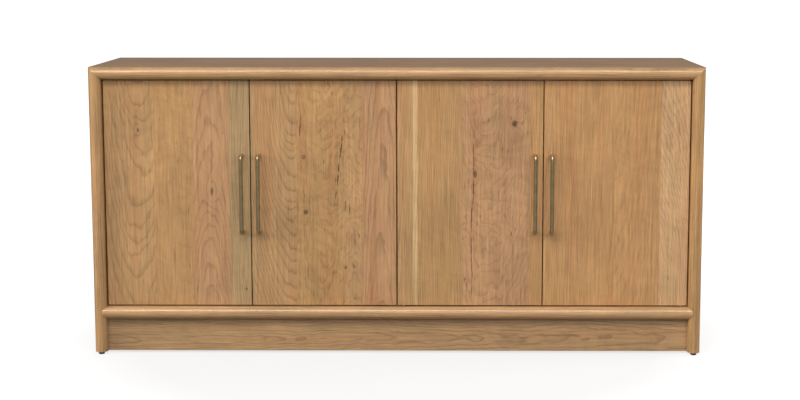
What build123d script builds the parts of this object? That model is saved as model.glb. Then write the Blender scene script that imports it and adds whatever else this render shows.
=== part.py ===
from build123d import *

import os

# A low four-door console cabinet in solid cherry: top and sides are thick boards with full-round
# front edges, mitred together. Width is along X, the front faces -Y, and Z is up. The origin is on
# the floor, under the middle of the whole cabinet. All sizes are in millimetres.

# Driving dimensions of the case.
WIDTH = 1829.0
HEIGHT = 870.0
DEPTH = 457.0  # round front edge to rear edge
BOARD = 37.0  # top, sides and bottom board
PANEL = 20.0  # doors, partition, shelves and plinth boards
GLIDE_TALL = 7.5
PLINTH_TALL = 101.0
DOOR_SETBACK = 27.0  # round front edge to door face
RAIL_PROUD = 0.8  # bottom board's round edge stands out past the sides'
RAIL_LAP = 12.0  # bottom board's round edge laps onto the sides'
EASE = 1.0  # sanded arris
BACK_THICK = 6.0
REBATE_WIDE = 12.0
REBATE_DEEP = 12.0

# Doors, their pivots, handles and catches.
SIDE_GAP = 3.0
PAIR_GAP = 3.0
CENTRE_GAP = 4.0
LEVEL_GAP = 3.0
PIN_INSET = 18.0  # hinge edge to pivot axis
PIN_BEHIND = 8.0  # door face to pivot axis
PIN_RADIUS = 3.0
PIN_RUN = 0.05  # radial running clearance
PIN_DEEP = 10.0
BUSH_RADIUS = 5.0
BUSH_TALL = 10.0
PLATE_REACH = 44.0
PLATE_WIDE = 11.0
PLATE_THICK = 2.5
SHOULDER_RADIUS = 5.5
SHOULDER_PLAY = 0.1
PLATE_SCREWS = (20.0, 38.0)  # along the plate from the pin
HANDLE_INSET = 23.5  # free edge to bar
HANDLE_LONG = 244.0
HANDLE_REACH = 36.0
ROD_RADIUS = 6.0
ROD_BEND = 11.0
HANDLE_BITE = 12.0
CATCH_SIZE = (64.0, 17.0, 14.0)
CATCH_PLAY = 0.3
MAGNET_SIZE = (22.0, 2.0, 8.0)
MAGNET_APART = 26.0
STRIKE_SIZE = (24.0, 10.0, 1.2)

# Inside fittings.
SHELF_PLAY = 1.5
SHELF_SETBACK = 20.0  # behind the doors
PARTITION_SETBACK = 12.0
PIN_HOLE_RADIUS = 2.5
PIN_ROWS = 11
PIN_PITCH = 32.0
PIN_FIRST = 300.0
SHELF_ROW = 6
PIN_HOLE_DEEP = 8.0
PIN_FROM_FRONT = 37.0
PIN_FROM_BACK = 45.0
SHELF_SHORT = 4.0  # gap between shelf and back panel
SHELF_EASE = 2.0
PORT_RADIUS = 30.0
PORT_X = 330.0  # clear of the sight line through the gap between a pair of doors
PORT_Z = 235.0

# Planes and faces worked out from them.
PROUD = HANDLE_REACH - DOOR_SETBACK
REAR = (DEPTH + PROUD) / 2
FRONT = REAR - DEPTH
TANGENT = FRONT + BOARD / 2  # where the round front edges start
OUTER = WIDTH / 2
INNER = OUTER - BOARD
UNDER_TOP = HEIGHT - BOARD
PLINTH_TOP = GLIDE_TALL + PLINTH_TALL
FLOOR_TOP = PLINTH_TOP + BOARD
BACK_FRONT = REAR - REBATE_DEEP
DOOR_FACE = FRONT + DOOR_SETBACK
DOOR_REAR = DOOR_FACE + PANEL
DOOR_LOW = FLOOR_TOP + LEVEL_GAP
DOOR_HIGH = UNDER_TOP - LEVEL_GAP
DOOR_WIDE = (2 * INNER - 2 * SIDE_GAP - 2 * PAIR_GAP - CENTRE_GAP) / 4
PIN_Y = DOOR_FACE + PIN_BEHIND
HANDLE_Z = (DOOR_LOW + DOOR_HIGH) / 2
PARTITION_FRONT = DOOR_REAR + PARTITION_SETBACK
SHELF_FRONT = DOOR_REAR + SHELF_SETBACK
RAIL_FRONT = BACK_FRONT - PANEL

# Each door: the X of its hinge edge, and the way from there to its free edge.
DOORS = {
    "left_outer": (SIDE_GAP - INNER, 1),
    "left_inner": (-CENTRE_GAP / 2, -1),
    "right_inner": (CENTRE_GAP / 2, 1),
    "right_outer": (INNER - SIDE_GAP, -1),
}
UP, DOWN, REARWARD = (0, 0, 1), (0, 0, -1), (0, 1, 0)


def keep(part, name):
    """Labels a finished piece and writes it."""
    part.label = name
    export_step(part, f"parts/{name}.step")


def facing(places, way):
    """Turns points into planes whose normal is the way a screw head faces."""
    return [Plane(origin=place, z_dir=way) for place in places]


def drill(plane, places, radius, depth, mode=Mode.SUBTRACT):
    """Cuts or adds a round peg of one depth along the plane's normal at each place."""
    with BuildSketch(plane) as mouths:
        with Locations(*places):
            Circle(radius)
    extrude(mouths.sketch, amount=depth, mode=mode)


def bullnose(tangent, rear, middle):
    """Board section: square at the rear, full round at the front. Goes inside a sketch."""
    with Locations((tangent, middle)):
        Rectangle(rear - tangent, BOARD, align=(Align.MIN, Align.CENTER))
        Circle(BOARD / 2)


def screw(head_radius, head_tall, shank_radius, length, countersunk):
    """A screw standing head up, its head's seat at Z = 0 if round, or its flat top if countersunk.
    Returns the blank, which cuts its own hole, and the finished screw with a cross recess."""
    with BuildPart() as blank:
        with BuildSketch():
            Circle(shank_radius)
        extrude(amount=-length)
        if countersunk:
            with BuildSketch():
                Circle(head_radius)
            with BuildSketch(Plane.XY.offset(-head_tall)):
                Circle(shank_radius)
            loft()
        else:
            with BuildSketch():
                Circle(head_radius)
            extrude(amount=head_tall)
            fillet(blank.faces().sort_by(Axis.Z)[-1].edges(), head_tall * 0.45)
    crown = 0 if countersunk else head_tall
    with BuildPart() as finished:
        add(blank.part)
        with BuildSketch(Plane.XY.offset(crown)):
            Rectangle(head_radius * 1.1, head_radius * 0.26)
            Rectangle(head_radius * 0.26, head_radius * 1.1)
        extrude(amount=-head_tall * 0.7, mode=Mode.SUBTRACT)
    return blank.part, finished.part


def cut_with(blank, planes):
    """Cuts the holes that a screw blank fills."""
    with Locations(*planes):
        add(blank, mode=Mode.SUBTRACT)


def set_screws(finished, planes, name):
    """Writes a group of like screws, each at its own plane."""
    with BuildPart() as group:
        with Locations(*planes):
            add(finished)
    keep(group.part, name)


os.makedirs("parts", exist_ok=True)

# Screws: countersunk for the pivot plates, catches and strikes, round head for the back panels and
# the plinth blocks, and a long machine screw for the handles.
PLATE_BLANK, PLATE_SCREW = screw(3.2, 2.0, 1.6, 16.0, True)
CATCH_BLANK, CATCH_SCREW = screw(3.0, 1.8, 1.5, 26.0, True)
STRIKE_BLANK, STRIKE_SCREW = screw(2.4, 1.1, 1.2, 12.0, True)
BACK_BLANK, BACK_SCREW = screw(3.6, 2.2, 1.6, 20.0, False)
BLOCK_BLANK, BLOCK_SCREW = screw(4.0, 2.4, 2.0, 34.0, False)
HANDLE_BLANK, HANDLE_SCREW = screw(4.0, 2.4, 2.0, PANEL + HANDLE_BITE - 1.0, False)


def plate_screw_places(edge, toward, z):
    """Screw points along one pivot plate."""
    return [(edge + toward * (PIN_INSET + far), PIN_Y, z) for far in PLATE_SCREWS]


def all_plate_screws(z, way):
    """Head planes of every door's plate screws in one board."""
    return [
        plane
        for edge, toward in DOORS.values()
        for plane in facing(plate_screw_places(edge, toward, z), way)
    ]


def plate_outlines(which):
    """Slot-shaped plates, one per door named, each round about its pin. Goes inside a sketch."""
    for edge, toward in which:
        with Locations((edge + toward * (PIN_INSET + PLATE_REACH / 2), PIN_Y)):
            SlotCenterToCenter(PLATE_REACH, PLATE_WIDE)


TOP_PLATE_SCREWS = all_plate_screws(UNDER_TOP, DOWN)
FLOOR_PLATE_SCREWS = all_plate_screws(FLOOR_TOP, UP)

# Double magnetic catches under the top, one behind each pair of free edges.
CATCH_X = INNER - SIDE_GAP - DOOR_WIDE - PAIR_GAP / 2
CATCH_FRONT = DOOR_REAR + CATCH_PLAY
CATCH_LOW = UNDER_TOP - CATCH_SIZE[2]
CATCH_SCREW_Y = CATCH_FRONT + CATCH_SIZE[1] * 0.6
CATCH_SCREW_IN = 5.0
CATCH_SCREWS = facing(
    [
        (side * CATCH_X + end * (CATCH_SIZE[0] / 2 - CATCH_SCREW_IN), CATCH_SCREW_Y, CATCH_LOW)
        for side in (-1, 1)
        for end in (-1, 1)
    ],
    DOWN,
)

# Back panels and their screws, set in from the panel edges all round.
BACK_REAR = BACK_FRONT + BACK_THICK
BACK_HIGH = UNDER_TOP + REBATE_WIDE
BACK_LOW = PLINTH_TOP + 4.0
BACK_OUT = INNER + REBATE_WIDE
BACK_SEAM = 1.0  # gap between the two panels, behind the partition
SCREW_IN = 6.0
SCREW_IN_LOW = 14.0
SCREW_ROW_END = 120.0
BACK_ROWS = [BACK_LOW + SCREW_ROW_END, HANDLE_Z, BACK_HIGH - SCREW_ROW_END]
BACK_COLUMNS = [BACK_OUT * share for share in (0.12, 0.37, 0.63, 0.88)]
BACK_PLACES = [
    (side * x, BACK_REAR, z)
    for side in (-1, 1)
    for x, z in [(column, BACK_HIGH - SCREW_IN) for column in BACK_COLUMNS]
    + [(column, BACK_LOW + SCREW_IN_LOW) for column in BACK_COLUMNS]
    + [(BACK_OUT - SCREW_IN, row) for row in BACK_ROWS]
    + [(SCREW_IN - BACK_SEAM / 2, row) for row in BACK_ROWS]
]
BACK_SCREWS = facing(BACK_PLACES, REARWARD)

# Dowels: bottom board into the sides, and partition into the top and bottom boards.
DOWEL_RADIUS = 4.0
DOWEL_LONG = 40.0
DOWEL_YS = (-150.0, -40.0, 70.0, 180.0)
PARTITION_DOWEL_YS = (-120.0, 30.0, 180.0)
BOTTOM_MIDDLE = PLINTH_TOP + BOARD / 2

# Hidden splines that key the mitres: centred across the joint, square to it.
SPLINE_THICK = 4.0
SPLINE_WIDE = 18.0
SPLINE_LONG = DEPTH - 90.0
SPLINE_SHIFT = -4.0  # along the mitre, towards the inside corner


def spline_plane(side):
    """Plane at the middle of a mitre; its X runs along the mitre, from inside corner outwards."""
    middle_x, middle_z = (INNER + OUTER) / 2, (UNDER_TOP + HEIGHT) / 2
    return Plane(origin=(side * middle_x, 0, middle_z), x_dir=(side, 0, 1), z_dir=(0, 1, 0))


def spline(side, mode=Mode.ADD):
    """Cuts or adds one mitre spline."""
    with BuildSketch(spline_plane(side)) as section:
        with Locations((SPLINE_SHIFT, 0)):
            Rectangle(SPLINE_THICK, SPLINE_WIDE)
    extrude(section.sketch, amount=SPLINE_LONG / 2, both=True, mode=mode)


def rebate():
    """Cuts the step that the back panels lie in, out of the rear inner edges of the case."""
    with BuildSketch(Plane.XZ.offset(-REAR)) as step:
        with Locations((0, GLIDE_TALL)):
            Rectangle(
                2 * BACK_OUT, BACK_HIGH - GLIDE_TALL, align=(Align.CENTER, Align.MIN)
            )
    extrude(step.sketch, amount=REBATE_DEEP, mode=Mode.SUBTRACT)


# --- Case boards ---

# The bottom board's round edge runs on past the board's ends and is let into the sides' round
# edges, where it ends in a rounded tip.
with BuildPart() as bottom_panel:
    with BuildSketch(Plane.YZ):
        bullnose(TANGENT - RAIL_PROUD, TANGENT, BOTTOM_MIDDLE)
    extrude(amount=INNER + RAIL_LAP, both=True)
    with BuildSketch(Plane.XZ) as tips:
        with Locations((0, BOTTOM_MIDDLE)):
            Rectangle(2 * (INNER + RAIL_LAP), BOARD)
        fillet(tips.vertices(), RAIL_LAP)
    extrude(amount=DEPTH, both=True, mode=Mode.INTERSECT)
    with BuildSketch(Plane.YZ):
        bullnose(TANGENT - RAIL_PROUD, BACK_FRONT, BOTTOM_MIDDLE)
    extrude(amount=INNER, both=True)
    with BuildSketch(Plane.XY.offset(FLOOR_TOP)):
        plate_outlines(DOORS.values())
    extrude(amount=-PLATE_THICK, mode=Mode.SUBTRACT)
    cut_with(PLATE_BLANK, FLOOR_PLATE_SCREWS)
    cut_with(BACK_BLANK, BACK_SCREWS)
    for side in (-1, 1):
        drill(
            Plane.YZ.offset(side * INNER),
            [(y, BOTTOM_MIDDLE) for y in DOWEL_YS],
            DOWEL_RADIUS,
            -side * DOWEL_LONG / 2,
        )
    drill(
        Plane.XY.offset(FLOOR_TOP),
        [(0, y) for y in PARTITION_DOWEL_YS],
        DOWEL_RADIUS,
        -DOWEL_LONG / 2,
    )
keep(bottom_panel.part, "bottom_panel")

with BuildPart() as top_panel:
    with BuildSketch(Plane.YZ):
        bullnose(TANGENT, REAR, HEIGHT - BOARD / 2)
    extrude(amount=OUTER, both=True)
    with BuildSketch(Plane.XZ):
        Polygon((INNER, UNDER_TOP), (OUTER, UNDER_TOP), (OUTER, HEIGHT), align=None)
        mirror(about=Plane.YZ)
    extrude(amount=DEPTH, both=True, mode=Mode.SUBTRACT)
    rebate()
    spline(-1, Mode.SUBTRACT)
    spline(1, Mode.SUBTRACT)
    with BuildSketch(Plane.XY.offset(UNDER_TOP)):
        plate_outlines(DOORS.values())
    extrude(amount=PLATE_THICK, mode=Mode.SUBTRACT)
    cut_with(PLATE_BLANK, TOP_PLATE_SCREWS)
    cut_with(CATCH_BLANK, CATCH_SCREWS)
    cut_with(BACK_BLANK, BACK_SCREWS)
    drill(
        Plane.XY.offset(UNDER_TOP),
        [(0, y) for y in PARTITION_DOWEL_YS],
        DOWEL_RADIUS,
        DOWEL_LONG / 2,
    )
keep(top_panel.part, "top_panel")

SHELF_PIN_YS = (SHELF_FRONT + PIN_FROM_FRONT, BACK_FRONT - PIN_FROM_BACK)
SHELF_PIN_HOLES = [
    (y, PIN_FIRST + PIN_PITCH * row) for row in range(PIN_ROWS) for y in SHELF_PIN_YS
]
GLIDE_IN = 30.0
GLIDE_YS = (FRONT + 14.0, REAR - GLIDE_IN)  # the front pair under the round edges
BRACE_GLIDE_YS = (DOOR_REAR + GLIDE_IN, RAIL_FRONT - GLIDE_IN)
GLIDE_RADIUS = 9.0
GLIDE_BEVEL = 1.2
SPIGOT_RADIUS = 3.0
SPIGOT_TALL = 15.0

BLOCK = 25.0
BLOCK_TALL = 70.0
BLOCK_Z = GLIDE_TALL + 15.0  # clear of the board's lower edge
BLOCK_CORNERS = [
    (side * INNER, y, -side, way)
    for side in (-1, 1)
    for y, way in ((DOOR_REAR, 1), (RAIL_FRONT, -1))
]
BLOCK_UPPER = BLOCK_Z + BLOCK_TALL * 0.75
BLOCK_LOWER = BLOCK_Z + BLOCK_TALL * 0.25
SIDE_BLOCK_SCREWS = [
    plane
    for x, y, in_x, in_y in BLOCK_CORNERS
    for plane in facing([(x + in_x * BLOCK, y + in_y * BLOCK / 2, BLOCK_UPPER)], (in_x, 0, 0))
]
BOARD_BLOCK_SCREWS = [
    plane
    for x, y, in_x, in_y in BLOCK_CORNERS
    for plane in facing([(x + in_x * BLOCK / 2, y + in_y * BLOCK, BLOCK_LOWER)], (0, in_y, 0))
]
BLOCK_SCREWS = SIDE_BLOCK_SCREWS + BOARD_BLOCK_SCREWS

for side, name in ((-1, "left_side_panel"), (1, "right_side_panel")):
    with BuildPart() as side_panel:
        with BuildSketch(Plane.XY.offset(GLIDE_TALL)):
            with Locations((side * (OUTER - BOARD / 2), TANGENT)):
                Rectangle(BOARD, REAR - TANGENT, align=(Align.CENTER, Align.MIN))
                Circle(BOARD / 2)
        extrude(amount=HEIGHT - GLIDE_TALL)
        with BuildSketch(Plane.XZ):
            Polygon(
                (side * INNER, UNDER_TOP),
                (side * OUTER, HEIGHT),
                (side * INNER, HEIGHT),
                align=None,
            )
        extrude(amount=DEPTH, both=True, mode=Mode.SUBTRACT)
        rebate()
        spline(side, Mode.SUBTRACT)
        add(bottom_panel.part, mode=Mode.SUBTRACT)
        drill(
            Plane.YZ.offset(side * INNER),
            SHELF_PIN_HOLES,
            PIN_HOLE_RADIUS,
            side * PIN_HOLE_DEEP,
        )
        drill(
            Plane.YZ.offset(side * INNER),
            [(y, BOTTOM_MIDDLE) for y in DOWEL_YS],
            DOWEL_RADIUS,
            side * DOWEL_LONG / 2,
        )
        drill(
            Plane.XY.offset(GLIDE_TALL),
            [(side * (OUTER - BOARD / 2), y) for y in GLIDE_YS],
            SPIGOT_RADIUS,
            SPIGOT_TALL,
        )
        cut_with(BACK_BLANK, BACK_SCREWS)
        cut_with(BLOCK_BLANK, SIDE_BLOCK_SCREWS)
    keep(side_panel.part, name)

with BuildPart() as centre_partition:
    with BuildSketch(Plane.XY.offset(FLOOR_TOP)):
        with Locations((0, PARTITION_FRONT)):
            Rectangle(PANEL, BACK_FRONT - PARTITION_FRONT, align=(Align.CENTER, Align.MIN))
    extrude(amount=UNDER_TOP - FLOOR_TOP)
    fillet(centre_partition.edges().filter_by(Axis.Z).group_by(Axis.Y)[0], EASE)
    for side in (-1, 1):
        drill(
            Plane.YZ.offset(side * PANEL / 2),
            SHELF_PIN_HOLES,
            PIN_HOLE_RADIUS,
            -side * PIN_HOLE_DEEP,
        )
    for z, way in ((FLOOR_TOP, 1), (UNDER_TOP, -1)):
        drill(
            Plane.XY.offset(z),
            [(0, y) for y in PARTITION_DOWEL_YS],
            DOWEL_RADIUS,
            way * DOWEL_LONG / 2,
        )
    cut_with(BACK_BLANK, BACK_SCREWS)
keep(centre_partition.part, "centre_partition")

with BuildPart() as mitre_splines:
    spline(-1)
    spline(1)
keep(mitre_splines.part, "mitre_splines")

with BuildPart() as dowels:
    for side in (-1, 1):
        drill(
            Plane.YZ.offset(side * (INNER - DOWEL_LONG / 2)),
            [(y, BOTTOM_MIDDLE) for y in DOWEL_YS],
            DOWEL_RADIUS,
            side * DOWEL_LONG,
            Mode.ADD,
        )
    for z in (FLOOR_TOP, UNDER_TOP):
        drill(
            Plane.XY.offset(z - DOWEL_LONG / 2),
            [(0, y) for y in PARTITION_DOWEL_YS],
            DOWEL_RADIUS,
            DOWEL_LONG,
            Mode.ADD,
        )
keep(dowels.part, "joint_dowels")

# --- Plinth ---

for name, front in (("plinth_board", DOOR_FACE), ("rear_plinth_rail", RAIL_FRONT)):
    with BuildPart() as rail:
        with BuildSketch(Plane.XY.offset(GLIDE_TALL)):
            with Locations((0, front)):
                Rectangle(2 * INNER, PANEL, align=(Align.CENTER, Align.MIN))
        extrude(amount=PLINTH_TALL)
        cut_with(BLOCK_BLANK, BOARD_BLOCK_SCREWS)
    keep(rail.part, name)

with BuildPart() as plinth_brace:
    with BuildSketch(Plane.XY.offset(GLIDE_TALL)):
        with Locations((0, DOOR_REAR)):
            Rectangle(PANEL, RAIL_FRONT - DOOR_REAR, align=(Align.CENTER, Align.MIN))
    extrude(amount=PLINTH_TALL)
    drill(
        Plane.XY.offset(GLIDE_TALL),
        [(0, y) for y in BRACE_GLIDE_YS],
        SPIGOT_RADIUS,
        SPIGOT_TALL,
    )
keep(plinth_brace.part, "plinth_brace")

with BuildPart() as corner_blocks:
    with BuildSketch(Plane.XY.offset(BLOCK_Z)):
        for x, y, in_x, in_y in BLOCK_CORNERS:
            with Locations((x + in_x * BLOCK / 2, y + in_y * BLOCK / 2)):
                Rectangle(BLOCK, BLOCK)
    extrude(amount=BLOCK_TALL)
    cut_with(BLOCK_BLANK, BLOCK_SCREWS)
keep(corner_blocks.part, "plinth_corner_blocks")
set_screws(BLOCK_SCREW, BLOCK_SCREWS, "plinth_block_screws")

# Floor glides: domed discs with a spigot pressed up into the wood.
with BuildPart() as glide:
    with BuildSketch():
        Circle(GLIDE_RADIUS)
    extrude(amount=GLIDE_TALL)
    chamfer(glide.faces().sort_by(Axis.Z)[0].edges(), GLIDE_BEVEL)
    with BuildSketch(Plane.XY.offset(GLIDE_TALL)):
        Circle(SPIGOT_RADIUS)
    extrude(amount=SPIGOT_TALL)

GLIDE_PLACES = [
    (side * (OUTER - BOARD / 2), y, 0) for side in (-1, 1) for y in GLIDE_YS
] + [(0, y, 0) for y in BRACE_GLIDE_YS]
with BuildPart() as floor_glides:
    with Locations(*GLIDE_PLACES):
        add(glide.part)
keep(floor_glides.part, "floor_glides")

# --- Inside: shelves, their pins, back panels and cable ports ---

SHELF_PIN_Z = PIN_FIRST + PIN_PITCH * SHELF_ROW
SHELF_UNDER = SHELF_PIN_Z + PIN_HOLE_RADIUS
COLLAR_RADIUS = 4.0
COLLAR_THICK = SHELF_PLAY - 0.3
PIN_STICK_OUT = 9.0
SHELF_WIDE = INNER - PANEL / 2 - 2 * SHELF_PLAY
SHELF_DEEP = BACK_FRONT - SHELF_SHORT - SHELF_FRONT
BAY_MIDDLE = (INNER + PANEL / 2) / 2

for side, name in ((-1, "left_shelf"), (1, "right_shelf")):
    with BuildPart() as shelf:
        with BuildSketch(Plane.XY.offset(SHELF_UNDER)):
            with Locations((side * BAY_MIDDLE, SHELF_FRONT)):
                Rectangle(SHELF_WIDE, SHELF_DEEP, align=(Align.CENTER, Align.MIN))
        extrude(amount=PANEL)
        fillet(shelf.edges().filter_by(Axis.X).group_by(Axis.Y)[0], SHELF_EASE)
    keep(shelf.part, name)

with BuildPart() as shelf_pins:
    for wall, way in ((-INNER, 1), (-PANEL / 2, -1), (PANEL / 2, 1), (INNER, -1)):
        places = [(y, SHELF_PIN_Z) for y in SHELF_PIN_YS]
        drill(
            Plane.YZ.offset(wall - way * PIN_HOLE_DEEP),
            places,
            PIN_HOLE_RADIUS,
            way * (PIN_HOLE_DEEP + PIN_STICK_OUT),
            Mode.ADD,
        )
        drill(Plane.YZ.offset(wall), places, COLLAR_RADIUS, way * COLLAR_THICK, Mode.ADD)
keep(shelf_pins.part, "shelf_pins")

GROMMET_WALL = 3.0
GROMMET_LIP = 4.0
GROMMET_LIP_TALL = 2.0
for side, bay in ((-1, "left"), (1, "right")):
    port = (side * PORT_X, PORT_Z)
    with BuildPart() as back_panel:
        with BuildSketch(Plane.XZ.offset(-BACK_REAR)):
            with Locations((side * (BACK_OUT + BACK_SEAM / 2) / 2, (BACK_LOW + BACK_HIGH) / 2)):
                Rectangle(BACK_OUT - BACK_SEAM / 2, BACK_HIGH - BACK_LOW)
            with Locations(port):
                Circle(PORT_RADIUS, mode=Mode.SUBTRACT)
        extrude(amount=BACK_THICK)
        cut_with(BACK_BLANK, BACK_SCREWS)
    keep(back_panel.part, f"{bay}_back_panel")

    with BuildPart() as grommet:
        with BuildSketch(Plane.XZ.offset(-BACK_REAR)):
            with Locations(port):
                Circle(PORT_RADIUS)
        extrude(amount=BACK_THICK)
        with BuildSketch(Plane.XZ.offset(-BACK_REAR)):
            with Locations(port):
                Circle(PORT_RADIUS + GROMMET_LIP)
        extrude(amount=-GROMMET_LIP_TALL)
        fillet(
            grommet.edges().filter_by(GeomType.CIRCLE).group_by(Axis.Y)[-1],
            GROMMET_LIP_TALL * 0.6,
        )
        with BuildSketch(Plane.XZ.offset(-REAR)):
            with Locations(port):
                Circle(PORT_RADIUS - GROMMET_WALL)
        extrude(amount=2 * REBATE_DEEP, mode=Mode.SUBTRACT)
    keep(grommet.part, f"{bay}_cable_grommet")
set_screws(BACK_SCREW, BACK_SCREWS, "back_panel_screws")

# --- Magnetic catches ---

MAGNET_LOW = CATCH_LOW + 3.0
CATCH_CORNER = 2.0
CATCH_EASE = 0.8
for side, name in ((-1, "left_catch"), (1, "right_catch")):
    with BuildPart() as catch:
        with BuildSketch(Plane.XY.offset(CATCH_LOW)):
            with Locations((side * CATCH_X, CATCH_FRONT)):
                Rectangle(CATCH_SIZE[0], CATCH_SIZE[1], align=(Align.CENTER, Align.MIN))
        extrude(amount=CATCH_SIZE[2])
        fillet(catch.edges().filter_by(Axis.Z), CATCH_CORNER)
        fillet(catch.faces().sort_by(Axis.Z)[0].edges(), CATCH_EASE)
        with BuildSketch(Plane.XZ.offset(-CATCH_FRONT)):
            with Locations((side * CATCH_X, MAGNET_LOW)):
                with GridLocations(MAGNET_APART, 0, 2, 1):
                    Rectangle(MAGNET_SIZE[0], MAGNET_SIZE[2], align=(Align.CENTER, Align.MIN))
        extrude(amount=-MAGNET_SIZE[1], mode=Mode.SUBTRACT)
        cut_with(CATCH_BLANK, CATCH_SCREWS)
    keep(catch.part, name)

with BuildPart() as catch_magnets:
    with BuildSketch(Plane.XZ.offset(-CATCH_FRONT)):
        for side in (-1, 1):
            with Locations((side * CATCH_X, MAGNET_LOW)):
                with GridLocations(MAGNET_APART, 0, 2, 1):
                    Rectangle(MAGNET_SIZE[0], MAGNET_SIZE[2], align=(Align.CENTER, Align.MIN))
    extrude(amount=-MAGNET_SIZE[1])
keep(catch_magnets.part, "catch_magnets")
set_screws(CATCH_SCREW, CATCH_SCREWS, "catch_screws")

# --- Pivot hinges, cabinet half: flush plates with pins in the top and bottom boards ---

PIN_PLACES = [(edge + toward * PIN_INSET, PIN_Y) for edge, toward in DOORS.values()]


def pin_plates(board_face, way, shoulder):
    """One level's plates: let into the board, with pins that reach `way` into the doors."""
    with BuildSketch(Plane.XY.offset(board_face)) as plates:
        plate_outlines(DOORS.values())
    extrude(plates.sketch, amount=-way * PLATE_THICK)
    reach = LEVEL_GAP + PIN_DEEP
    drill(Plane.XY.offset(board_face), PIN_PLACES, PIN_RADIUS, way * reach, Mode.ADD)
    if shoulder:
        drill(Plane.XY.offset(board_face), PIN_PLACES, SHOULDER_RADIUS, way * shoulder, Mode.ADD)


with BuildPart() as upper_pin_plates:
    pin_plates(UNDER_TOP, -1, LEVEL_GAP / 2)
    cut_with(PLATE_BLANK, TOP_PLATE_SCREWS)
keep(upper_pin_plates.part, "upper_pivot_plates")

with BuildPart() as lower_pin_plates:
    pin_plates(FLOOR_TOP, 1, LEVEL_GAP - SHOULDER_PLAY)
    cut_with(PLATE_BLANK, FLOOR_PLATE_SCREWS)
keep(lower_pin_plates.part, "lower_pivot_plates")
set_screws(PLATE_SCREW, TOP_PLATE_SCREWS + FLOOR_PLATE_SCREWS, "pivot_plate_screws")

# --- Doors, each with its handle, screws, pivot sockets and strike ---

ROD_OUT = HANDLE_REACH - ROD_RADIUS
FOOT_UP = HANDLE_LONG / 2 - ROD_RADIUS
MAGNET_SHIFT = MAGNET_APART / 2
STRIKE_Z = MAGNET_LOW + MAGNET_SIZE[2] / 2
LEVELS = ((DOOR_LOW, 1, DOWN), (DOOR_HIGH, -1, UP))

for door_name, (edge, toward) in DOORS.items():
    pin = (edge + toward * PIN_INSET, PIN_Y)
    bar_x = edge + toward * (DOOR_WIDE - HANDLE_INSET)
    free_edge = edge + toward * DOOR_WIDE
    strike_x = free_edge - toward * (MAGNET_SHIFT - PAIR_GAP / 2)
    handle_screws = facing(
        [(bar_x, DOOR_REAR, HANDLE_Z + up) for up in (-FOOT_UP, FOOT_UP)], REARWARD
    )
    strike_screws = facing([(strike_x, DOOR_REAR, STRIKE_Z)], REARWARD)
    plate_screws = [
        plane
        for z, inward, way in LEVELS
        for plane in facing(plate_screw_places(edge, toward, z), way)
    ]

    with BuildPart() as slab:
        with BuildSketch(Plane.XY.offset(DOOR_LOW)):
            with Locations(((edge + free_edge) / 2, DOOR_FACE)):
                Rectangle(DOOR_WIDE, PANEL, align=(Align.CENTER, Align.MIN))
        extrude(amount=DOOR_HIGH - DOOR_LOW)
        fillet(slab.edges(), EASE)
        for z, inward, way in LEVELS:
            with BuildSketch(Plane.XY.offset(z)) as mortise:
                plate_outlines([(edge, toward)])
            extrude(mortise.sketch, amount=inward * PLATE_THICK, mode=Mode.SUBTRACT)
            drill(
                Plane.XY.offset(z), [pin], BUSH_RADIUS, inward * (PLATE_THICK + BUSH_TALL)
            )
        with BuildSketch(Plane.XZ.offset(-DOOR_REAR)) as recess:
            with Locations((strike_x, STRIKE_Z)):
                Rectangle(STRIKE_SIZE[0], STRIKE_SIZE[1])
        extrude(recess.sketch, amount=STRIKE_SIZE[2], mode=Mode.SUBTRACT)
        cut_with(PLATE_BLANK, plate_screws)
        cut_with(HANDLE_BLANK, handle_screws)
        cut_with(STRIKE_BLANK, strike_screws)
    keep(slab.part, f"{door_name}_door")

    with BuildPart() as sockets:
        for z, inward, way in LEVELS:
            with BuildSketch(Plane.XY.offset(z)) as leaf:
                plate_outlines([(edge, toward)])
            extrude(leaf.sketch, amount=inward * PLATE_THICK)
            drill(
                Plane.XY.offset(z),
                [pin],
                BUSH_RADIUS,
                inward * (PLATE_THICK + BUSH_TALL),
                Mode.ADD,
            )
            drill(
                Plane.XY.offset(z),
                [pin],
                PIN_RADIUS + PIN_RUN,
                inward * (PLATE_THICK + BUSH_TALL),
            )
        cut_with(PLATE_BLANK, plate_screws)
    keep(sockets.part, f"{door_name}_pivot_sockets")
    set_screws(PLATE_SCREW, plate_screws, f"{door_name}_socket_screws")

    with BuildPart() as handle:
        with BuildLine(Plane.YZ.offset(bar_x)):
            FilletPolyline(
                (DOOR_FACE, HANDLE_Z - FOOT_UP),
                (DOOR_FACE - ROD_OUT, HANDLE_Z - FOOT_UP),
                (DOOR_FACE - ROD_OUT, HANDLE_Z + FOOT_UP),
                (DOOR_FACE, HANDLE_Z + FOOT_UP),
                radius=ROD_BEND,
            )
        with BuildSketch(Plane.XZ.offset(-DOOR_FACE)):
            with Locations((bar_x, HANDLE_Z - FOOT_UP)):
                Circle(ROD_RADIUS)
        sweep()
        cut_with(HANDLE_BLANK, handle_screws)
    keep(handle.part, f"{door_name}_handle")
    set_screws(HANDLE_SCREW, handle_screws, f"{door_name}_handle_screws")

    with BuildPart() as strike:
        with BuildSketch(Plane.XZ.offset(-DOOR_REAR)):
            with Locations((strike_x, STRIKE_Z)):
                Rectangle(STRIKE_SIZE[0], STRIKE_SIZE[1])
        extrude(amount=STRIKE_SIZE[2])
        cut_with(STRIKE_BLANK, strike_screws)
    keep(strike.part, f"{door_name}_strike")
    set_screws(STRIKE_SCREW, strike_screws, f"{door_name}_strike_screw")
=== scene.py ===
import math

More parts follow.
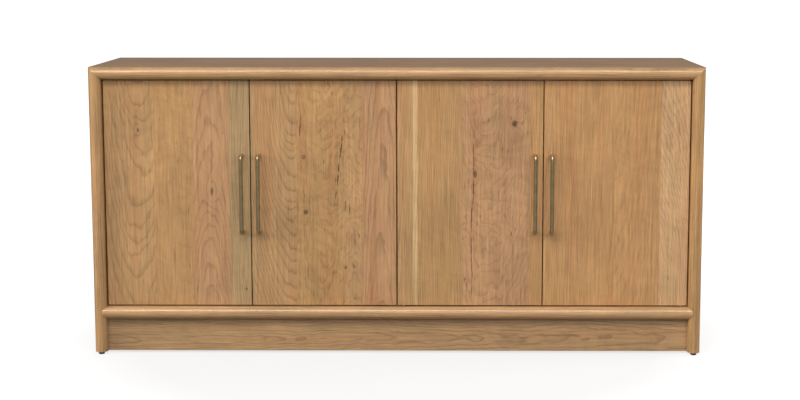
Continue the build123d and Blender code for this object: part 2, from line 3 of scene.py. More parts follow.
import bpy
import numpy as np
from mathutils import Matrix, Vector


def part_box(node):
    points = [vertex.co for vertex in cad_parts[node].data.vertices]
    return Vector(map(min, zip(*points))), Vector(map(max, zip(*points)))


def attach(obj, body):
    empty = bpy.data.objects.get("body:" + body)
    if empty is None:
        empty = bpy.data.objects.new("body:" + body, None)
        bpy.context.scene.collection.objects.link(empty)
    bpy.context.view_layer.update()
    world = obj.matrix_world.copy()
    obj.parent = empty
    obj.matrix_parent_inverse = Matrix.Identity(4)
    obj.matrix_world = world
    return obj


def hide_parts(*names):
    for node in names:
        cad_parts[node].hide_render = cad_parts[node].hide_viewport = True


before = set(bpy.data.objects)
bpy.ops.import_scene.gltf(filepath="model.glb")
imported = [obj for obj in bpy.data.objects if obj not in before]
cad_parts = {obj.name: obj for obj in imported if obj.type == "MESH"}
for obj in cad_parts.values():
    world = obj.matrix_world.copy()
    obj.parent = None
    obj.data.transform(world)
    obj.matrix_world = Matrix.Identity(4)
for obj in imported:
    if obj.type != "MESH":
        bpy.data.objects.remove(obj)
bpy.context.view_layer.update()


# --- Studio ---
# A pale floor that runs out of sight, a white room round it, and soft lamps from the front, from
# both sides and from behind. The floor's glow, seen by the camera only, is dimmer near the cabinet:
# a painted shadow round it. The camera looks a little down at the front of the cabinet.

FLOOR_REACH = 40.0
FLOOR_PAINT = (0.20, 0.20, 0.20, 1.0)
FLOOR_GLOW_AND_SHADOW = (0.73, 1.08)  # near the cabinet, dimmed there as a painted shadow, and far from it
FLOOR_SHADOW_REACH = (0.8, 1.6)  # where the painted shadow round the cabinet fades: the glow starts and ends its rise
EYE_X, EYE_HIGH, EYE_BACK = 0.129, 1.176, 4.507
EYE_TILT = 7.09  # degrees down
EYE_TURN = 0.41  # degrees to the left
LENS, FILM = 65.5, 36.0  # millimetres
LENS_SHIFT = (-0.037, -0.07)
ROOM_LIGHT, ROOM_SHOWN = 0.14, 1.05  # as a lamp, and as the backdrop
WHITE = (1.0, 1.0, 1.0, 1.0)

world = bpy.data.worlds.new("studio_room")
bpy.context.scene.world = world
world.use_nodes = True
room = world.node_tree.nodes["Background"]
room.inputs["Color"].default_value = WHITE
sight = world.node_tree.nodes.new("ShaderNodeLightPath")
glow = world.node_tree.nodes.new("ShaderNodeMapRange")
glow.inputs["To Min"].default_value = ROOM_LIGHT
glow.inputs["To Max"].default_value = ROOM_SHOWN
world.node_tree.links.new(sight.outputs["Is Camera Ray"], glow.inputs["Value"])
world.node_tree.links.new(glow.outputs["Result"], room.inputs["Strength"])
bpy.context.scene.view_settings.view_transform = "Standard"


def softbox(name, place, target, size, power, mirrored=True):
    """An area lamp of one width and height, turned to face a target. Polished surfaces show a
    mirrored one as a highlight, and take only plain light from the others."""
    lamp = bpy.data.lights.new(name, "AREA")
    lamp.shape, lamp.size, lamp.size_y = "RECTANGLE", *size
    lamp.energy = power
    holder = bpy.data.objects.new(name, lamp)
    bpy.context.scene.collection.objects.link(holder)
    way = np.subtract(target, place)
    turn = math.atan2(way[1], way[0]) - math.pi / 2
    lean = math.atan2(math.hypot(way[0], way[1]), -way[2])
    holder.location, holder.rotation_euler = place, (lean, 0.0, turn)
    holder.visible_glossy = mirrored


softbox("long_softbox", (0.3, -5.3, 7.0), (0.3, -0.2, 0.45), (6.0, 1.7), 295.0)
softbox("key_softbox", (-3.4, -5.6, 5.6), (0.1, -0.2, 0.45), (3.0, 3.0), 150.0)
softbox("left_softbox", (-7.0, -2.3, 2.6), (0.0, -0.2, 0.45), (2.6, 2.6), 335.0, mirrored=False)
softbox("front_softbox", (0.3, -5.6, 2.4), (0.1, -0.2, 0.4), (2.2, 2.2), 30.0)
softbox("right_softbox", (2.8, -4.2, 2.4), (0.6, -0.2, 0.45), (1.5, 1.5), 54.0, mirrored=False)
softbox("side_softbox", (6.8, 0.9, 2.4), (0.9, 0.1, 0.45), (2.6, 2.6), 260.0, mirrored=False)
softbox("rear_softbox", (2.4, 5.2, 2.0), (0.0, 0.2, 0.5), (2.4, 2.4), 95.0, mirrored=False)

floor_mesh = bpy.data.meshes.new("studio_floor")
corners = [(-FLOOR_REACH, -FLOOR_REACH, 0), (FLOOR_REACH, -FLOOR_REACH, 0)]
corners += [(FLOOR_REACH, FLOOR_REACH, 0), (-FLOOR_REACH, FLOOR_REACH, 0)]
floor_mesh.from_pydata(corners, [], [(0, 1, 2, 3)])
studio_floor = bpy.data.objects.new("studio_floor", floor_mesh)
bpy.context.scene.collection.objects.link(studio_floor)
floor_paint = bpy.data.materials.new("pale_floor")
floor_paint.use_nodes = True
floor_shader = floor_paint.node_tree.nodes["Principled BSDF"]
floor_shader.inputs["Base Color"].default_value = FLOOR_PAINT
floor_shader.inputs["Emission Strength"].default_value = 1.0
floor_nodes, floor_links = floor_paint.node_tree.nodes, floor_paint.node_tree.links
floor_place = floor_nodes.new("ShaderNodeTexCoord")
floor_away = floor_nodes.new("ShaderNodeVectorMath")
floor_away.operation = "LENGTH"
floor_links.new(floor_place.outputs["Object"], floor_away.inputs[0])
# Painted shadow: the glow is dimmer close to the cabinet and stands in for its shadow on the floor.
floor_glow_and_shadow = floor_nodes.new("ShaderNodeMapRange")
for socket, value in zip(floor_glow_and_shadow.inputs[1:5], FLOOR_SHADOW_REACH + FLOOR_GLOW_AND_SHADOW):
    socket.default_value = value
floor_links.new(floor_away.outputs["Value"], floor_glow_and_shadow.inputs["Value"])
floor_sight = floor_nodes.new("ShaderNodeLightPath")
floor_shown = floor_nodes.new("ShaderNodeMath")
floor_shown.operation = "MULTIPLY"
floor_links.new(floor_sight.outputs["Is Camera Ray"], floor_shown.inputs[0])
floor_links.new(floor_glow_and_shadow.outputs["Result"], floor_shown.inputs[1])
floor_links.new(floor_shown.outputs["Value"], floor_shader.inputs["Emission Color"])
floor_shader.inputs["Roughness"].default_value = 0.9
floor_shader.inputs["Specular IOR Level"].default_value = 0.1
floor_mesh.materials.append(floor_paint)

lens = bpy.data.cameras.new("camera")
lens.lens, lens.sensor_width = LENS, FILM
lens.shift_x, lens.shift_y = LENS_SHIFT
lens.clip_end = 200.0
camera = bpy.data.objects.new("camera", lens)
bpy.context.scene.collection.objects.link(camera)
camera.location = (EYE_X, -EYE_BACK, EYE_HIGH)
camera.rotation_euler = (math.radians(90.0 - EYE_TILT), 0.0, math.radians(EYE_TURN))
bpy.context.scene.camera = camera


# --- Case boards ---
# Top, sides and bottom board: 37 mm solid cherry, glued up from wide boards, sanded and given a
# satin clear lacquer. The grain runs along each board's length.


class Line:
    """A socket used like a number: each operator adds one Math node to its material."""

    def __init__(self, finish, socket):
        self.finish, self.socket = finish, socket

    def maths(self, operation, *others):
        return self.finish.node("ShaderNodeMath", {"operation": operation}, *others)

    def __add__(self, other):
        return self.maths("ADD", self, other)

    def __radd__(self, other):
        return self.maths("ADD", other, self)

    def __sub__(self, other):
        return self.maths("SUBTRACT", self, other)

    def __rsub__(self, other):
        return self.maths("SUBTRACT", other, self)

    def __mul__(self, other):
        return self.maths("MULTIPLY", self, other)

    def __rmul__(self, other):
        return self.maths("MULTIPLY", other, self)

    def __truediv__(self, other):
        return self.maths("DIVIDE", self, other)

    def __rtruediv__(self, other):
        return self.maths("DIVIDE", other, self)

    def root(self):
        return self.maths("SQRT", self)

    def part(self):
        """What is left over past the last whole number."""
        return self.maths("FRACT", self)

    def smooth(self, low, high):
        """0 below low, 1 above high, with an eased step between them."""
        settings = {"interpolation_type": "SMOOTHSTEP"}
        return self.finish.node("ShaderNodeMapRange", settings, self, low, high)


class Finish:
    """One material. Its shader's constants are set by name, and its patterns are built as Lines."""

    def __init__(self, name, **constants):
        self.material = bpy.data.materials.new(name)
        self.material.use_nodes = True
        self.tree = self.material.node_tree
        self.shader = self.tree.nodes["Principled BSDF"]
        for socket, value in constants.items():
            self.shader.inputs[socket.replace("_", " ")].default_value = value

    def node(self, kind, settings, *inputs, out=0, **named):
        """Adds a node: settings first, then its inputs in order or by name, as values or Lines."""
        made = self.tree.nodes.new(kind)
        for key, value in settings.items():
            if key == "stops":
                self.set_stops(made.color_ramp, value)
            elif key == "blend":
                made.color_ramp.interpolation = value
            else:
                setattr(made, key, value)
        sockets = [s for s in made.inputs if s.enabled]
        for socket, value in zip(sockets, inputs):
            self.feed(socket, value)
        for key, value in named.items():
            self.feed(made.inputs[key.replace("_", " ")], value)
        outs = [s for s in made.outputs if s.enabled]
        return Line(self, outs[out])

    def set_stops(self, ramp, stops):
        """Replaces a colour ramp's stops by (position, colour) pairs."""
        while len(ramp.elements) > 1:
            ramp.elements.remove(ramp.elements[-1])
        ramp.elements[0].position, ramp.elements[0].color = stops[0][0], (*stops[0][1], 1.0)
        for position, colour in stops[1:]:
            ramp.elements.new(position).color = (*colour, 1.0)

    def feed(self, socket, value):
        """Links a Line to a socket, or sets the socket's own value."""
        if isinstance(value, Line):
            self.tree.links.new(value.socket, socket)
        elif socket.type == "RGBA":
            socket.default_value = (*value, 1.0) if len(value) == 3 else value
        else:
            socket.default_value = value

    def place(self):
        """The three Object coordinates, in metres."""
        held = self.node("ShaderNodeTexCoord", {}, out=3)
        split = self.node("ShaderNodeSeparateXYZ", {}, held)
        node = split.socket.node
        return [Line(self, node.outputs[i]) for i in range(3)]

    def point(self, x, y, z):
        """A vector from three Lines or numbers."""
        return self.node("ShaderNodeCombineXYZ", {}, x, y, z)

    def cloud(self, point, scale, detail=2.0, rough=0.5):
        """Smooth noise of about 0 to 1."""
        return self.node(
            "ShaderNodeTexNoise", {}, Vector=point, Scale=scale, Detail=detail, Roughness=rough
        )

    def ramp(self, factor, stops, blend="LINEAR"):
        """A colour picked along a list of stops."""
        return self.node("ShaderNodeValToRGB", {"stops": stops, "blend": blend}, factor)

    def channels(self, colour):
        """The red, green and blue of a colour, as three Lines."""
        node = self.node("ShaderNodeSeparateColor", {}, colour).socket.node
        return [Line(self, node.outputs[i]) for i in range(3)]

    def blend(self, factor, first, second, kind="MIX"):
        """A colour between two, or one laid on the other in another blend kind."""
        made = self.tree.nodes.new("ShaderNodeMix")
        made.data_type, made.blend_type = "RGBA", kind
        sockets = [socket for socket in made.inputs if socket.enabled]
        for socket, value in zip(sockets, (factor, first, second)):
            self.feed(socket, value)
        return Line(self, made.outputs[2])

    def bump(self, height, strength, distance):
        """Feeds the shader's Normal from a height pattern."""
        normal = self.node(
            "ShaderNodeBump", {}, Strength=strength, Distance=distance, Height=height
        )
        self.show(Normal=normal)

    def show(self, **patterns):
        """Feeds shader sockets by name."""
        for socket, value in patterns.items():
            self.feed(self.shader.inputs[socket.replace("_", " ")], value)


def stave_stops(low, high, staves, column):
    """Ramp stops, one flat step for each stave: its left edge as a share of the width, and one of
    its two triples of numbers."""
    return [((stave[0] - low) / (high - low), stave[column]) for stave in staves]


RING_WIDE = 0.0064


def timber(name, across, along, deep, span, middle, face, staves, knots=(), cracks=(), rough=0.42):
    """Lacquered wood. `across`, `along` and `deep` name the board's own directions; `span` is where
    it starts and ends across, `middle` its middle along, and `face` the depth of its shown face. A
    board is glued up from staves, each a row of (edge, figure, colour, nature). The figure is where
    the tree's heart lies across the whole board, how far below this stave it runs, and how fast it
    sinks along it. The nature is how wild the grain is, how streaky, and how dark its rings are.

    The rings are cylinders about the heart line: a ring's number is the distance to that line,
    bent by slow noise, over the ring width. Sawn through, they give arches and straight lines.
    Knots push them aside about a dark heart, and cracks are thin jagged lines of gum that run along
    the grain. Fine fibres, pores, gum flecks and slow changes of colour lie over them."""
    wood = Finish(name, IOR=1.45, Coat_Weight=0.9, Coat_Roughness=0.22)
    axes = dict(zip("xyz", wood.place()))
    s, t, d = axes[across], axes[along] - middle, axes[deep] - face

    low, high = span
    share = (s - low) / (high - low)
    figure = wood.ramp(share, stave_stops(low, high, staves, 1), "CONSTANT")
    colour = wood.ramp(share, stave_stops(low, high, staves, 2), "CONSTANT")
    nature = wood.ramp(share, stave_stops(low, high, staves, 3), "CONSTANT")
    heart, under, climb = wood.channels(figure)
    wild, streaky, banded = wood.channels(nature)
    seed = heart * 37.0 + under * 31.0 + climb * 17.0

    wander = wood.cloud(wood.point(s * 4.0 + seed, t * 1.6 + seed, d * 4.0), 1.0, 2.0) - 0.5
    ripple = wood.cloud(wood.point(s * 34.0 + seed, t * 9.0, d * 34.0), 1.0, 2.0, 0.6) - 0.5
    swirl = wood.cloud(wood.point(s * 13.0 + seed, t * 9.5 + seed, d * 13.0), 1.0, 2.0, 0.55) - 0.5
    sideways = s - (low + heart * (high - low)) + wander * 0.05
    below = under * 0.3 + (climb - 0.5) * t + d
    away = (sideways * sideways + below * below).root()
    away = away + wander * 0.02 + ripple * 0.006 + swirl * wild * 0.06
    heartwood = 0.0
    for knot_s, knot_t, wide, tall, push in knots:
        near_s, near_t = (s - knot_s) / wide, (t - knot_t) / tall
        swell = 1.0 / (1.0 + (near_s * near_s + near_t * near_t) * 2.0)
        away, heartwood = away + swell * push, heartwood + swell.smooth(0.78, 0.97)
    uneven = wood.cloud(wood.point(away * 32.0, seed, 1.0), 1.0, 1.0) - 0.5
    ring = (away / RING_WIDE + uneven * 3.2).part()
    late = ring.smooth(0.58, 0.95) - ring.smooth(0.96, 1.0)

    fibre = wood.cloud(wood.point(s * 640.0, t * 10.0 + seed, d * 640.0), 1.0, 2.0, 0.7) - 0.5
    strand = wood.cloud(wood.point(s * 165.0, t * 6.0 + seed, d * 165.0), 1.0, 3.0, 0.65) - 0.5
    pore = wood.cloud(wood.point(s * 1700.0, t * 65.0 + seed, d * 1700.0), 1.0, 1.0)
    pore = pore.smooth(0.60, 0.74)
    streak = wood.cloud(wood.point(s * 21.0 + seed, t * 1.0, d * 21.0), 1.0, 3.0, 0.6)
    patch = wood.cloud(wood.point(s * 5.0 + seed, t * 3.0, d * 5.0), 1.0, 3.0, 0.6) - 0.5
    curl = wood.cloud(
        wood.point(s * 12.0 + seed, t * 36.0 + s * 14.0 + wander * 16.0, d * 12.0), 1.0, 2.0
    ) - 0.5
    fleck = wood.cloud(wood.point(s * 120.0 + seed, t * 34.0, d * 120.0), 1.0, 1.0)
    fleckless = fleck.smooth(0.34, 0.56)
    fleck = fleck.smooth(0.68, 0.76)
    gum = wood.cloud(wood.point(s * 95.0 + seed + swirl, t * 13.0, d * 95.0), 1.0, 2.0, 0.6)
    gum = gum.smooth(0.64, 0.71) * patch.smooth(0.0, 0.12) * (wild + 0.06)

    for crack_s, crack_low, crack_high, drift in cracks:
        line = s - crack_s - (t - crack_low) * drift - wander * 0.03 - ripple * 0.012
        gate = (t - crack_low).smooth(0.0, 0.05) * (crack_high - t).smooth(0.0, 0.05)
        gum = gum + (1.0 - (line * line).root().smooth(0.0003, 0.0022)) * gate * fleckless

    tone = 1.02 - late * banded * streak.smooth(0.10, 0.5) * 1.15 - fibre * 0.40 - strand * 0.95
    tone = tone + patch * 0.58 + curl * (0.15 + wild * 0.50)
    tone = tone - pore * 0.10 - fleck * (0.12 + wild * 0.35) - gum * 0.9 - heartwood * 0.5
    rosy = wood.blend(streak.smooth(0.46, 0.66) * streaky, colour, (0.90, 0.74, 0.66), "MULTIPLY")
    olive = wood.blend(
        (1.0 - streak.smooth(0.32, 0.48)) * streaky, rosy, (0.82, 0.84, 0.72), "MULTIPLY"
    )
    body = wood.blend(1.0, olive, wood.point(tone, tone, tone), "MULTIPLY")
    wood.show(Base_Color=body, Roughness=rough - 0.04 + strand * 0.14 + pore * 0.12)
    wood.bump(fibre * 0.5 - pore * 1.0 - late * 0.3, 0.3, 0.0002)
    return wood.material


# Colours of staves.
TAN = (0.505, 0.287, 0.123)
GOLD = (0.500, 0.280, 0.112)
PINK = (0.510, 0.281, 0.131)
OLIVE = (0.455, 0.295, 0.138)
# Partly the wood's own pale tone and partly painted light: the last stave of the right door is set
# lighter, as if lit more on that side.
PALE_WITH_PAINTED_LIGHT = (0.606, 0.361, 0.175)
SAP = (0.646, 0.421, 0.198)
AMBER = (0.540, 0.289, 0.116)
# Natures of staves: wild, streaky, and how dark the rings are.
PLAIN = (0.08, 0.4, 0.20)
BOLD = (0.10, 0.4, 0.28)
WILD = (0.60, 0.5, 0.15)


def dress(material, *names):
    """Gives CAD nodes their finish."""
    for name in names:
        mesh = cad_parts[name].data
        mesh.materials.clear()
        mesh.materials.append(material)


(case_low, _), (_, case_high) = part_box("left_side_panel"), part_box("right_side_panel")
case_deep = (case_low.y, case_high.y)
case_middle = 0.43
TOP_STAVES = [
    (case_low.y, (0.10, 0.20, 0.50), TAN, PLAIN),
    (-0.118, (0.45, 0.10, 0.53), PINK, BOLD),
    (0.004, (0.62, 0.16, 0.48), AMBER, PLAIN),
    (0.121, (0.90, 0.12, 0.46), TAN, BOLD),
]
top_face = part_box("top_panel")[1].z
top_wood = timber("cherry_top", "y", "x", "z", case_deep, 0.0, top_face, TOP_STAVES)
dress(top_wood, "top_panel")

RAIL_STAVES = [
    (case_low.y, (0.02, 0.30, 0.51), TAN, PLAIN),
    (-0.10, (0.50, 0.12, 0.48), GOLD, PLAIN),
    (0.03, (0.70, 0.20, 0.54), PINK, BOLD),
    (0.14, (0.85, 0.12, 0.47), TAN, PLAIN),
]
bottom_face = 0.145
bottom_wood = timber("cherry_bottom", "y", "x", "z", case_deep, 0.0, bottom_face, RAIL_STAVES)
dress(bottom_wood, "bottom_panel")

SIDE_STAVES = [
    (case_low.y, (0.02, 0.28, 0.52), TAN, PLAIN),
    (-0.105, (0.36, 0.30, 0.34), GOLD, BOLD),
    (0.012, (0.66, 0.24, 0.55), PINK, PLAIN),
    (0.128, (0.92, 0.30, 0.64), TAN, BOLD),
]
OTHER_STAVES = [
    (case_low.y, (0.05, 0.26, 0.49), GOLD, PLAIN),
    (-0.128, (0.33, 0.34, 0.66), TAN, BOLD),
    (-0.010, (0.55, 0.30, 0.46), TAN, (0.35, 0.4, 0.16)),
    (0.105, (0.86, 0.28, 0.38), PINK, BOLD),
]
for hand, panel_face, panel_staves in (
    ("left", case_low.x, SIDE_STAVES),
    ("right", case_high.x, OTHER_STAVES),
):
    side_wood = timber(
        f"cherry_{hand}", "y", "z", "x", case_deep, case_middle, panel_face, panel_staves
    )
    dress(side_wood, f"{hand}_side_panel")


# --- Doors ---
# Four slabs, each glued up from three or four cherry staves that stand upright and don't match:
# some straight, some with arches, some knotty. Arrises are sanded off, and the lacquer is satin.

DOORS = ("left_outer", "left_inner", "right_inner", "right_outer")
DOORS_HALF = 0.8775
DOOR_STAVES = [
    (-DOORS_HALF, (0.058, 0.42, 0.41), TAN, (0.22, 0.4, 0.21)),
    (-0.7278, (0.135, 0.45, 0.44), GOLD, (0.40, 0.2, 0.07)),
    (-0.6104, (0.180, 0.30, 0.58), PINK, (0.15, 0.5, 0.18)),
    (-0.5029, (0.050, 0.20, 0.50), OLIVE, PLAIN),
    (-0.438, (0.324, 0.30, 0.32), TAN, (0.12, 0.4, 0.23)),
    (-0.3023, (0.375, 0.45, 0.40), GOLD, WILD),
    (-0.1609, (0.425, 0.30, 0.60), TAN, WILD),
    (-0.1057, (0.475, 0.20, 0.54), PINK, (0.10, 0.8, 0.22)),
    (0.0, (0.420, 0.40, 0.44), TAN, PLAIN),
    (0.046, (0.420, 0.40, 0.44), SAP, PLAIN),
    (0.057, (0.420, 0.40, 0.44), GOLD, PLAIN),
    (0.1886, (0.655, 0.40, 0.35), PINK, WILD),
    (0.3912, (0.620, 0.20, 0.50), AMBER, PLAIN),
    # The right outer door's staves are paler, the last one most. This is partly the wood's own tone
    # and partly painted light for the brighter light on the right.
    (0.438, (0.690, 0.45, 0.42), AMBER, (0.12, 0.4, 0.12)),
    (0.650, (0.860, 0.50, 0.42), AMBER, (0.20, 0.4, 0.10)),
    (0.7836, (0.893, 0.50, 0.70), PALE_WITH_PAINTED_LIGHT, (0.30, 0.3, 0.20)),
]
# Knots: place across and along, width, height, and how far they push the rings. Cracks: place
# across, lower and upper end, and drift across along the way.
KNOTS = [
    (-0.772, 0.192, 0.014, 0.024, 0.010),
    (-0.555, 0.007, 0.020, 0.050, 0.022),
    (-0.455, -0.291, 0.012, 0.016, 0.008),
    (-0.278, 0.111, 0.018, 0.026, 0.016),
    (-0.273, -0.055, 0.026, 0.030, 0.024),
    (-0.155, -0.225, 0.014, 0.018, 0.012),
    (-0.127, -0.319, 0.010, 0.014, 0.008),
    (0.234, 0.060, 0.022, 0.040, 0.020),
    (0.352, 0.212, 0.030, 0.036, 0.028),
]
CRACKS = [(0.226, -0.33, 0.20, 0.0), (-0.300, 0.13, 0.25, 0.10), (-0.185, -0.05, 0.24, 0.10)]
door_low, door_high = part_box("left_outer_door")
door_middle = (door_low.z + door_high.z) / 2
door_face = door_low.y
door_span = (-DOORS_HALF, DOORS_HALF)
door_wood = timber(
    "cherry_doors",
    "x",
    "z",
    "y",
    door_span,
    door_middle,
    door_face,
    DOOR_STAVES,
    KNOTS,
    CRACKS,
)
dress(door_wood, *[f"{name}_door" for name in DOORS])


# --- Plinth and inside boards ---
# The plinth's face board is one cherry plank. The shelves and the partition are cherry too, with
# plainer staves. What never shows is pale tulipwood: the plinth's rear rail, brace and blocks, the
# dowels and the mitre splines.

plinth_low, plinth_high = (corner.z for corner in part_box("plinth_board"))
PLINTH_STAVES = [(plinth_low, (0.35, 0.12, 0.52), (0.46, 0.274, 0.128), (0.22, 0.4, 0.24))]
plinth_tall = (plinth_low, plinth_high)
plinth_wood = timber(
    "cherry_plinth", "z", "x", "y", plinth_tall, 0.0, door_face, PLINTH_STAVES, rough=0.46
)
dress(plinth_wood, "plinth_board")

SHELF_STAVES = [
    (case_low.y, (0.10, 0.30, 0.52), TAN, PLAIN),
    (-0.06, (0.45, 0.12, 0.47), GOLD, BOLD),
    (0.07, (0.80, 0.20, 0.53), PINK, PLAIN),
]
shelf_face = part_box("left_shelf")[1].z
shelf_wood = timber("cherry_shelves", "y", "x", "z", case_deep, 0.0, shelf_face, SHELF_STAVES)
dress(shelf_wood, "left_shelf", "right_shelf")
partition_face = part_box("centre_partition")[1].x
partition_wood = timber(
    "cherry_partition", "y", "z", "x", case_deep, case_middle, partition_face, SHELF_STAVES
)
dress(partition_wood, "centre_partition")

TULIP = (0.62, 0.50, 0.33)
DULL = (0.10, 0.12, 0.12)
HIDDEN_STAVES = [
    (case_low.y, (0.3, 0.30, 0.52), TULIP, DULL),
    (0.0, (0.7, 0.2, 0.47), TULIP, DULL),
]
WHOLE = (-0.9, 0.9)
for hidden_name, directions, hidden_span, hidden_staves, hidden_nodes in (
    ("long", "yxz", case_deep, HIDDEN_STAVES, ("rear_plinth_rail", "joint_dowels")),
    ("deep", "xyz", WHOLE, HIDDEN_STAVES[:1], ("plinth_brace", "mitre_splines")),
    ("upright", "xzy", WHOLE, HIDDEN_STAVES[:1], ("plinth_corner_blocks",)),
):
    hidden_wood = timber(
        f"tulipwood_{hidden_name}", *directions, hidden_span, 0.0, 0.1, hidden_staves, rough=0.7
    )
    dress(hidden_wood, *hidden_nodes)


# --- Back panels ---
# 6 mm plywood with a plain-sliced cherry face, in two pieces that meet behind the partition.

VENEER_STAVES = [
    (-0.90, (0.13, 0.36, 0.44), TAN, PLAIN),
    (-0.60, (0.27, 0.32, 0.56), TAN, PLAIN),
    (-0.30, (0.42, 0.36, 0.42), GOLD, PLAIN),
    (0.0, (0.58, 0.36, 0.58), TAN, PLAIN),
    (0.30, (0.74, 0.32, 0.44), GOLD, PLAIN),
    (0.60, (0.89, 0.36, 0.56), TAN, PLAIN),
]
back_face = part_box("left_back_panel")[1].y
back_board = timber(
    "cherry_veneer", "x", "z", "y", WHOLE, door_middle, back_face, VENEER_STAVES, rough=0.55
)
dress(back_board, "left_back_panel", "right_back_panel")


# --- Handles ---
# Each is a 12 mm solid brass rod bent twice to a bar on two feet, screwed on from inside the door.
# Antiqued: darkened in a bath, then rubbed back along its length, so that the brass shows through.


def add_piece(name, points, faces, material, body, nodes, corners=None):
    """A smooth-shaded piece that stands for CAD nodes and moves with one body. `corners` gives
    each face corner its place on the unrolled surface."""
    mesh = bpy.data.meshes.new(name)
    mesh.from_pydata([tuple(map(float, point)) for point in points], [], faces)
    mesh.shade_smooth()
    if corners is not None:
        unrolled = mesh.uv_layers.new(name="unrolled")
        unrolled.data.foreach_set("uv", np.asarray(corners, dtype=np.float32).ravel())
    mesh.materials.append(material)
    piece = bpy.data.objects.new(name, mesh)
    bpy.context.scene.collection.objects.link(piece)
    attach(piece, body)
    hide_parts(*nodes)


def skin(rings, around, closed=False):
    """Quads between rings of points, each ring of `around` points, and the place of every corner
    on the unrolled surface: turns round the ring, and ring number."""
    faces, corners = [], []
    for ring in range(rings if closed else rings - 1):
        here, after = ring * around, (ring + 1) % rings * around
        for step in range(around):
            beyond = (step + 1) % around
            faces.append((here + step, here + beyond, after + beyond, after + step))
            corners += [(step / around, ring), ((step + 1) / around, ring)]
            corners += [((step + 1) / around, ring + 1), (step / around, ring + 1)]
    return faces, corners


ROD_RADIUS, ROD_BEND, ROD_BEVEL = 0.006, 0.011, 0.0005


def bar_points(x, face, middle, reach, half, around=40, turns=14, run_rings=10):
    """A round rod swept along a flat path: out from the door's face, a quarter turn of the bend
    radius, along, another quarter turn, and back. At each point of the path stands a circle, square
    to the path: centre plus radius times (cosine of the angle across, sine of it in the path's
    plane). Both ends taper over half a millimetre to a small bevel."""
    quarter = np.linspace(0.0, math.pi / 2, turns)
    out = np.concatenate([[0.0, ROD_BEVEL], reach - ROD_BEND + ROD_BEND * np.sin(quarter)])
    up = np.concatenate([[0.0, 0.0], ROD_BEND - ROD_BEND * np.cos(quarter)]) - half
    lean = np.concatenate([[0.0, 0.0], quarter])
    run = np.linspace(-half + ROD_BEND, half - ROD_BEND, run_rings + 2)[1:-1]
    out = np.concatenate([out, np.full(run_rings, reach), out[::-1]])
    lean = np.concatenate([lean, np.full(run_rings, math.pi / 2), math.pi - lean[::-1]])
    up = np.concatenate([up, run, -up[::-1]])
    thick = np.full(len(out), ROD_RADIUS)
    thick[[0, -1]] = ROD_RADIUS - ROD_BEVEL
    angle = np.linspace(0.0, 2 * math.pi, around, endpoint=False)
    across = thick[:, None] * np.cos(angle)
    inward = thick[:, None] * np.sin(angle)
    points = np.empty((len(out), around, 3))
    points[..., 0] = x + across
    points[..., 1] = face - out[:, None] + inward * np.sin(lean)[:, None]
    points[..., 2] = middle + up[:, None] + inward * np.cos(lean)[:, None]
    return points.reshape(-1, 3), len(out), around


brass = Finish("antique_brass", Metallic=1.0)
brass_x, brass_y, brass_z = brass.place()
brass_place = brass.point(brass_x, brass_y, brass_z)
rubbed = brass.cloud(brass.point(brass_x * 900.0, brass_y * 900.0, brass_z * 22.0), 1.0, 3.0, 0.7)
tarnish = brass.cloud(brass_place, 38.0, 4.0, 0.62)
speck = brass.cloud(brass_place, 420.0, 2.0).smooth(0.60, 0.72)
worn = (tarnish * 0.4 + rubbed * 0.6).smooth(0.30, 0.62)
brass_colour = brass.blend(worn, (0.38, 0.295, 0.150), (0.66, 0.53, 0.31))
brass_colour = brass.blend(speck * 0.35, brass_colour, (0.07, 0.05, 0.03))
brass.show(Base_Color=brass_colour, Roughness=0.50 - worn * 0.12 + (rubbed - 0.5) * 0.10)
brass.bump(rubbed * 0.6 + speck * 0.3, 0.25, 0.0001)

for door in DOORS:
    rod_low, rod_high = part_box(f"{door}_handle")
    bar, ring_count, ring_size = bar_points(
        (rod_low.x + rod_high.x) / 2,
        rod_high.y,
        (rod_low.z + rod_high.z) / 2,
        reach=rod_high.y - rod_low.y - ROD_RADIUS,
        half=(rod_high.z - rod_low.z) / 2 - ROD_RADIUS,
    )
    bar_faces, bar_corners = skin(ring_count, ring_size)
    add_piece(
        f"{door}_bar_handle",
        bar,
        bar_faces,
        brass.material,
        f"{door}_door",
        [f"{door}_handle"],
        bar_corners,
    )


# --- Steel fittings ---
# Pivot plates and sockets are blued steel, let in flush. Screws are zinc plated, and the shelf
# pins, magnets and strikes nickel plated. All are turned or stamped, with fine tool lines.


def plating(name, light, dark, rough, grain):
    """Plated or blued steel: fine lines, cloudy plating and darker specks."""
    steel = Finish(name, Metallic=1.0)
    x, y, z = steel.place()
    lines = steel.cloud(steel.point(x * grain, y * 2600.0, z * grain), 1.0, 2.0, 0.6)
    cloudy = steel.cloud(steel.point(x, y, z), 240.0, 3.0, 0.6)
    spots = steel.cloud(steel.point(x, y, z), 1300.0, 1.0).smooth(0.62, 0.72)
    colour = steel.blend(cloudy.smooth(0.35, 0.65), dark, light)
    colour = steel.blend(spots * 0.3, colour, tuple(share * 0.4 for share in dark))
    steel.show(Base_Color=colour, Roughness=rough + (lines - 0.5) * 0.2 + spots * 0.1)
    steel.bump(lines + cloudy * 0.4, 0.2, 0.00005)
    return steel.material


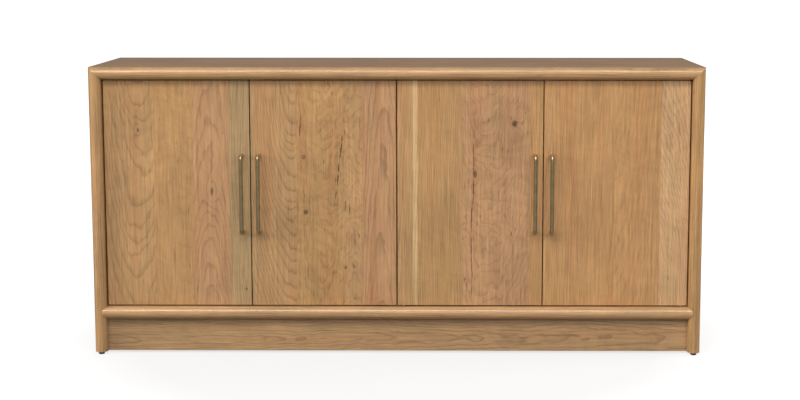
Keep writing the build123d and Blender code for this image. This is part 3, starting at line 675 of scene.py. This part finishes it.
hinge_steel = plating("blued_steel", (0.34, 0.33, 0.33), (0.20, 0.195, 0.20), 0.38, 700.0)
zinc = plating("zinc_plate", (0.66, 0.65, 0.60), (0.46, 0.46, 0.46), 0.33, 900.0)
nickel = plating("nickel_plate", (0.72, 0.70, 0.66), (0.60, 0.58, 0.54), 0.24, 1200.0)
dress(hinge_steel, "upper_pivot_plates", "lower_pivot_plates")
dress(zinc, "pivot_plate_screws", "back_panel_screws", "plinth_block_screws", "catch_screws")
dress(nickel, "shelf_pins", "catch_magnets")
for door in DOORS:
    dress(hinge_steel, f"{door}_pivot_sockets")
    dress(zinc, f"{door}_socket_screws", f"{door}_handle_screws", f"{door}_strike_screw")
    dress(nickel, f"{door}_strike")


# --- Catches, cable grommets and floor glides ---
# Moulded parts: brown catch bodies that hold the magnets, black grommets pressed into the back
# panels, and brown nylon glides with a spigot up into the wood.


def moulded(name, colour, rough, texture):
    """Moulded plastic: spark-eroded texture, dust in its hollows, and faint flow marks."""
    plastic = Finish(name, IOR=1.46)
    x, y, z = plastic.place()
    pitted = plastic.cloud(plastic.point(x, y, z), texture, 2.0, 0.6)
    flow = plastic.cloud(plastic.point(x * 60.0, y * 90.0, z * 25.0), 1.0, 3.0)
    dusty = tuple(share * 1.7 + 0.02 for share in colour)
    shade = plastic.blend(pitted.smooth(0.45, 0.70) * 0.6 + (flow - 0.5) * 0.3, colour, dusty)
    plastic.show(Base_Color=shade, Roughness=rough + (pitted - 0.5) * 0.25)
    plastic.bump(pitted, 0.35, 0.0001)
    return plastic.material


dress(moulded("catch_brown", (0.110, 0.062, 0.036), 0.45, 1500.0), "left_catch", "right_catch")
grommet_black = moulded("grommet_black", (0.022, 0.022, 0.023), 0.5, 1300.0)
glide_brown = moulded("glide_brown", (0.090, 0.056, 0.036), 0.42, 1100.0)


GROMMET_STEPS = 64


def turned(profile, centre, axis, around=GROMMET_STEPS):
    """Rings of a turned shape: each (radius, height) pair of the profile is swept round the axis
    through the centre, height running along that axis."""
    angle = np.linspace(0.0, 2 * math.pi, around, endpoint=False)
    radius, height = np.array(profile).T
    points = np.empty((len(radius), around, 3))
    first, second = [index for index in range(3) if index != axis]
    points[..., axis] = centre[axis] + height[:, None]
    points[..., first] = centre[first] + radius[:, None] * np.cos(angle)
    points[..., second] = centre[second] + radius[:, None] * np.sin(angle)
    return points.reshape(-1, 3)


# A grommet's profile runs round the sleeve and lip from the panel's face: up the lip's edge,
# over its two rounded corners into the bore, and back down the sleeve with two small bevels.
BORE, SLEEVE, LIP_THICK, LIP_ROUND = 0.027, 0.030, 0.002, 0.0008
BORE_BEVEL, SLEEVE_BEVEL = 0.0006, 0.0003
corner_turn = np.linspace(0.0, math.pi / 2, 6)
far = LIP_ROUND * (1.0 - np.cos(corner_turn))
near = LIP_ROUND * (1.0 - np.sin(corner_turn))
for bay in ("left", "right"):
    port_low, port_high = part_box(f"{bay}_cable_grommet")
    lip = (port_high.x - port_low.x) / 2
    deep = port_high.y - port_low.y
    middle = ((port_low.x + port_high.x) / 2, port_high.y, (port_low.z + port_high.z) / 2)
    profile = [(SLEEVE, -LIP_THICK), (lip, -LIP_THICK), (lip, -LIP_ROUND)]
    profile += list(zip(lip - far, -near))[1:]
    profile += list(zip(BORE + near, -far))
    profile += [(BORE, BORE_BEVEL - deep), (BORE + BORE_BEVEL, -deep)]
    profile += [(SLEEVE - SLEEVE_BEVEL, -deep), (SLEEVE, SLEEVE_BEVEL - deep)]
    grommet_faces, grommet_corners = skin(len(profile), GROMMET_STEPS, closed=True)
    add_piece(
        f"{bay}_port_grommet",
        turned(profile, middle, 1),
        grommet_faces,
        grommet_black,
        "cabinet",
        [f"{bay}_cable_grommet"],
        grommet_corners,
    )

dress(glide_brown, "floor_glides")
